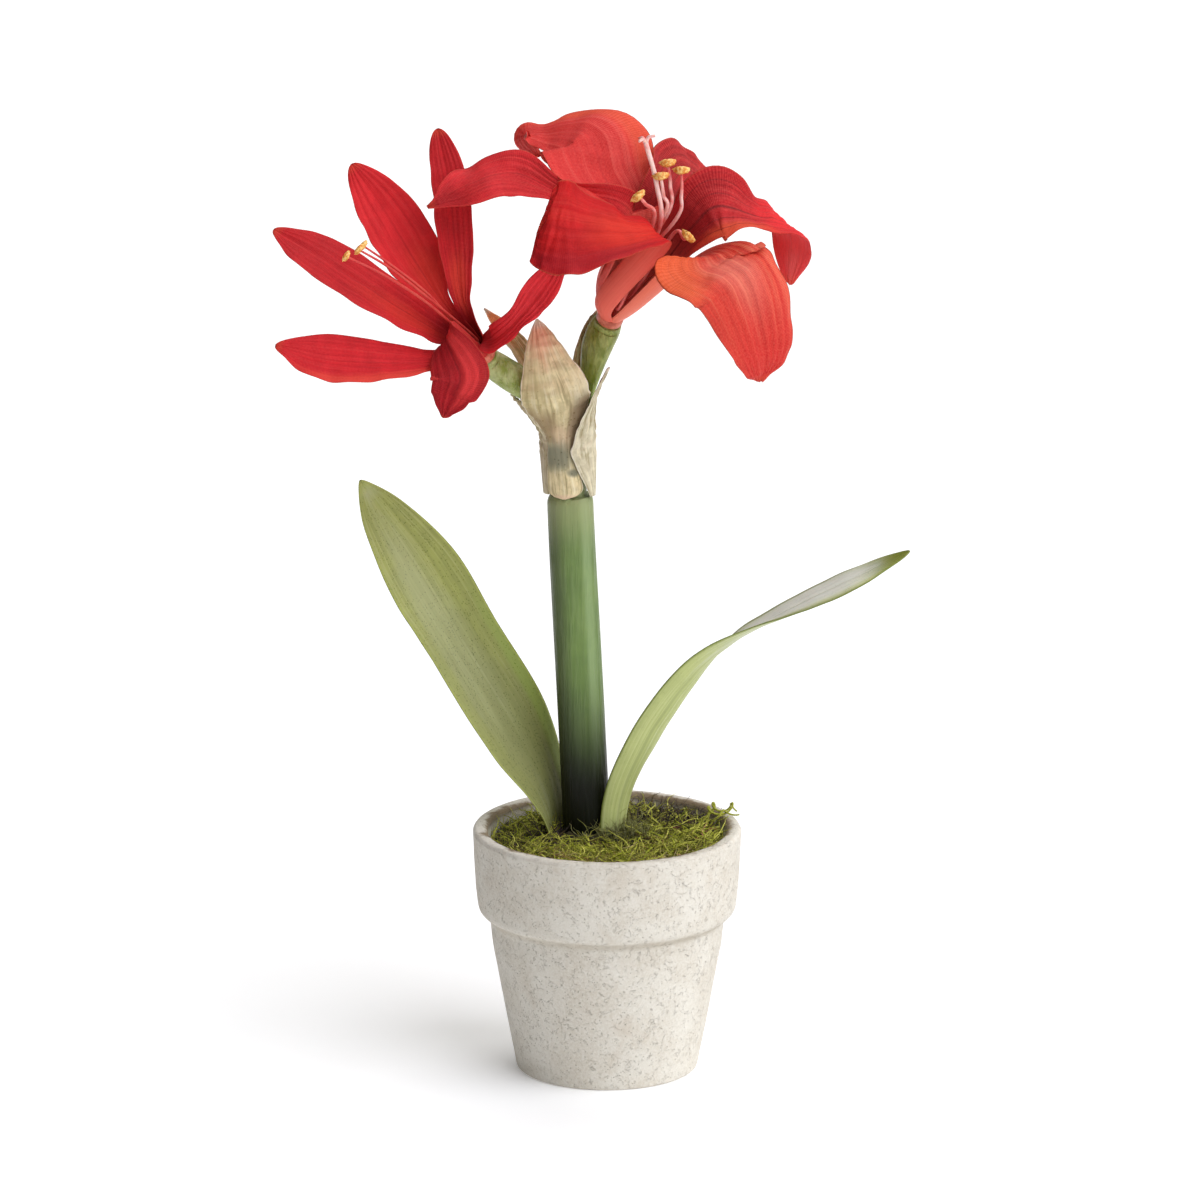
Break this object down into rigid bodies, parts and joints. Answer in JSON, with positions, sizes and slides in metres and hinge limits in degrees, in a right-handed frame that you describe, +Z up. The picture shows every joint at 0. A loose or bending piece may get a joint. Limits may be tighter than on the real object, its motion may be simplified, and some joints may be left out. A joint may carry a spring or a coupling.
{
  "type": "amaryllis in a pot",
  "caption": "Artificial red amaryllis with a round stem, strap leaves and papery bracts, standing in moss in a round tapered pot.",
  "frame": {"origin": "centre of the pot's flat base", "axes": "+Z up along the pot's axis, -Y towards the front, +X to the right as seen from the front"},
  "size_m": [0.2337, 0.1105, 0.3604],
  "materials": {
    "pulp": "unglazed, matt and finely pitted, warm grey-beige",
    "soil": "dark brown, crumbly, matt",
    "moss": "yellow-green and olive strands, matt",
    "stem": "mid green, satin, faint lengthwise ribs",
    "leaf": "yellow-green and olive, satin, fine lengthwise veins",
    "ovary": "yellow-green, satin",
    "bract": "papery tan with peach tips, matt",
    "tepal": "red weave with orange-red lights, soft sheen",
    "stamen": "translucent pink filaments, orange-yellow anthers"
  },
  "bodies": {
    "root": {"pot": "pulp", "soil": "soil", "moss": "moss", "stem": "stem", "leaf_left": "leaf", "leaf_right": "leaf", "bract_front": "bract", "bract_right": "bract", "bract_left": "bract", "bract_back_left": "bract", "bract_back_right": "bract", "pedicel_left": "ovary", "pedicel_right": "ovary", "bloom_left": "tepal", "bloom_right": "tepal", "stamens_left": "stamen", "stamens_right": "stamen"}
  },
  "joints": []
}
